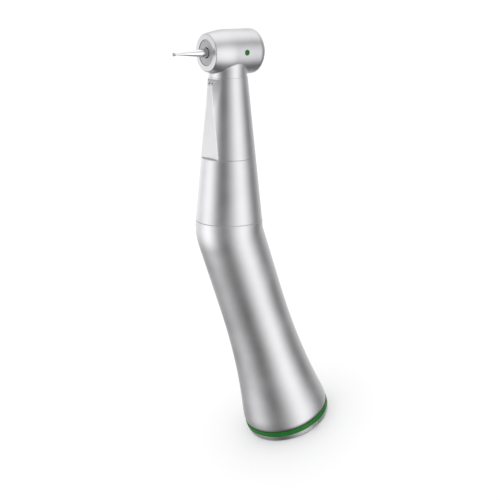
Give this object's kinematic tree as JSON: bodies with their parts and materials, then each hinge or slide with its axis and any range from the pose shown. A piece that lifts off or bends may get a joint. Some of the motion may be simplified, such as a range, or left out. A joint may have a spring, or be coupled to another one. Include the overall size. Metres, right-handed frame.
{
  "type": "contra angle handpiece",
  "caption": "Dental contra-angle handpiece: bent satin metal body with a push-button chuck head, a bur, a colour ring and a rear motor socket.",
  "frame": {"origin": "centre of the rear rim, on the plane of its end face", "axes": "+Z along the handle from the motor socket towards the bend; the neck leans towards +X; the bur points towards -X"},
  "size_m": [0.0319, 0.0206, 0.0952],
  "materials": {
    "satin_metal": "satin blasted stainless steel",
    "green_marking": "smooth green enamel",
    "polished_steel": "ground and polished steel",
    "gear_steel": "turned and ground tool steel",
    "bronze": "machined bronze",
    "spring_steel": "drawn spring wire",
    "seal_rubber": "smooth black elastomer",
    "ball_cage": "polished balls in a moulded cage"
  },
  "bodies": {
    "casing": {"head_housing": "satin_metal", "head_cap": "satin_metal", "front_shield": "gear_steel", "head_marker": "green_marking", "rear_bearing_holder": "polished_steel", "neck_sleeve": "satin_metal", "neck_bearing_holder": "bronze", "handle_shell": "satin_metal", "colour_ring": "green_marking", "rear_collar": "satin_metal", "coupling_sleeve": "bronze", "spring_clip": "spring_steel", "sleeve_o_ring": "seal_rubber", "spray_nozzle": "polished_steel", "water_tube": "polished_steel", "air_tube": "polished_steel", "gearbox_housing": "satin_metal", "support_ring": "bronze", "ring_gear": "gear_steel", "front_head_outer_race": "polished_steel", "rear_head_outer_race": "polished_steel", "front_neck_outer_race": "polished_steel", "rear_neck_outer_race": "polished_steel", "input_outer_race": "polished_steel", "carrier_outer_race": "polished_steel"},
    "input_shaft": {"input_shaft": "gear_steel", "sun_gear": "gear_steel", "input_inner_race": "polished_steel"},
    "carrier": {"planet_carrier": "gear_steel", "planet_pins": "polished_steel", "knee_input_gear": "gear_steel", "carrier_inner_race": "polished_steel"},
    "planet_1": {"planet_gear_1": "bronze"},
    "planet_2": {"planet_gear_2": "bronze"},
    "planet_3": {"planet_gear_3": "bronze"},
    "neck_shaft": {"neck_shaft": "gear_steel", "head_pinion": "gear_steel", "knee_output_gear": "gear_steel", "front_neck_inner_race": "polished_steel", "rear_neck_inner_race": "polished_steel"},
    "spindle": {"spindle": "gear_steel", "chuck_gear": "gear_steel", "front_head_inner_race": "polished_steel", "rear_head_inner_race": "polished_steel"},
    "collet": {"collet": "bronze", "release_cap": "gear_steel", "collet_spring": "spring_steel"},
    "bur": {"bur": "polished_steel"},
    "push_button": {"push_button": "satin_metal", "button_spring": "spring_steel"},
    "front_head_cage": {"front_head_balls": "ball_cage"},
    "rear_head_cage": {"rear_head_balls": "ball_cage"},
    "front_neck_cage": {"front_neck_balls": "ball_cage"},
    "rear_neck_cage": {"rear_neck_balls": "ball_cage"},
    "input_cage": {"input_balls": "ball_cage"},
    "carrier_cage": {"carrier_balls": "ball_cage"}
  },
  "joints": [
    {"name": "input_spin", "type": "hinge", "parent": "casing", "child": "input_shaft", "pos_m": [0, 0, 0.0272], "axis": [0, 0, 1], "continuous": true},
    {"name": "carrier_spin", "type": "hinge", "parent": "casing", "child": "carrier", "pos_m": [0, 0, 0.0457], "axis": [0, 0, 1], "continuous": true},
    {"name": "planet_1_spin", "type": "hinge", "parent": "carrier", "child": "planet_1", "pos_m": [0.00283, 0, 0.0348], "axis": [0, 0, 1], "continuous": true},
    {"name": "planet_2_spin", "type": "hinge", "parent": "carrier", "child": "planet_2", "pos_m": [-0.00142, 0.00246, 0.0348], "axis": [0, 0, 1], "continuous": true},
    {"name": "planet_3_spin", "type": "hinge", "parent": "carrier", "child": "planet_3", "pos_m": [-0.00142, -0.00246, 0.0348], "axis": [0, 0, 1], "continuous": true},
    {"name": "neck_spin", "type": "hinge", "parent": "casing", "child": "neck_shaft", "pos_m": [0, 0, 0.0522], "axis": [0.3289, 0, 0.9444], "continuous": true},
    {"name": "spindle_spin", "type": "hinge", "parent": "casing", "child": "spindle", "pos_m": [0.01302, 0, 0.0896], "axis": [-0.9444, 0, 0.3289], "continuous": true},
    {"name": "front_head_cage_spin", "type": "hinge", "parent": "casing", "child": "front_head_cage", "pos_m": [0.00933, 0, 0.09088], "axis": [-0.9444, 0, 0.3289], "continuous": true},
    {"name": "rear_head_cage_spin", "type": "hinge", "parent": "casing", "child": "rear_head_cage", "pos_m": [0.01709, 0, 0.08818], "axis": [-0.9444, 0, 0.3289], "continuous": true},
    {"name": "front_neck_cage_spin", "type": "hinge", "parent": "casing", "child": "front_neck_cage", "pos_m": [0.01032, 0, 0.08184], "axis": [0.3289, 0, 0.9444], "continuous": true},
    {"name": "rear_neck_cage_spin", "type": "hinge", "parent": "casing", "child": "rear_neck_cage", "pos_m": [0.00204, 0, 0.05805], "axis": [0.3289, 0, 0.9444], "continuous": true},
    {"name": "input_cage_spin", "type": "hinge", "parent": "casing", "child": "input_cage", "pos_m": [0, 0, 0.02739], "axis": [0, 0, 1], "continuous": true},
    {"name": "carrier_cage_spin", "type": "hinge", "parent": "casing", "child": "carrier_cage", "pos_m": [0, 0, 0.04579], "axis": [0, 0, 1], "continuous": true},
    {"name": "button_press", "type": "slide", "parent": "casing", "child": "push_button", "axis": [-0.9444, 0, 0.3289], "range_m": [0, 0.0004], "stiffness_N_per_m": 1500, "springref_m": -0.0008, "deforming": ["button_spring"]},
    {"name": "collet_release", "type": "slide", "parent": "spindle", "child": "collet", "axis": [-0.9444, 0, 0.3289], "range_m": [0, 0.0004], "deforming": ["collet_spring"]},
    {"name": "bur_slide", "type": "slide", "parent": "spindle", "child": "bur", "axis": [-0.9444, 0, 0.3289], "range_m": [0, 0.014]}
  ],
  "couplings": [
    {"joint": "carrier_spin", "follows": "input_spin", "ratio": 0.22222},
    {"joint": "planet_1_spin", "follows": "input_spin", "ratio": -0.62222},
    {"joint": "planet_2_spin", "follows": "input_spin", "ratio": -0.62222},
    {"joint": "planet_3_spin", "follows": "input_spin", "ratio": -0.62222},
    {"joint": "neck_spin", "follows": "input_spin", "ratio": 0.22222},
    {"joint": "spindle_spin", "follows": "input_spin", "ratio": 0.18519},
    {"joint": "front_head_cage_spin", "follows": "input_spin", "ratio": 0.073151},
    {"joint": "rear_head_cage_spin", "follows": "input_spin", "ratio": 0.073151},
    {"joint": "front_neck_cage_spin", "follows": "input_spin", "ratio": 0.087781},
    {"joint": "rear_neck_cage_spin", "follows": "input_spin", "ratio": 0.087781},
    {"joint": "input_cage_spin", "follows": "input_spin", "ratio": 0.39501},
    {"joint": "carrier_cage_spin", "follows": "input_spin", "ratio": 0.087781},
    {"joint": "collet_release", "follows": "button_press", "ratio": 1}
  ]
}
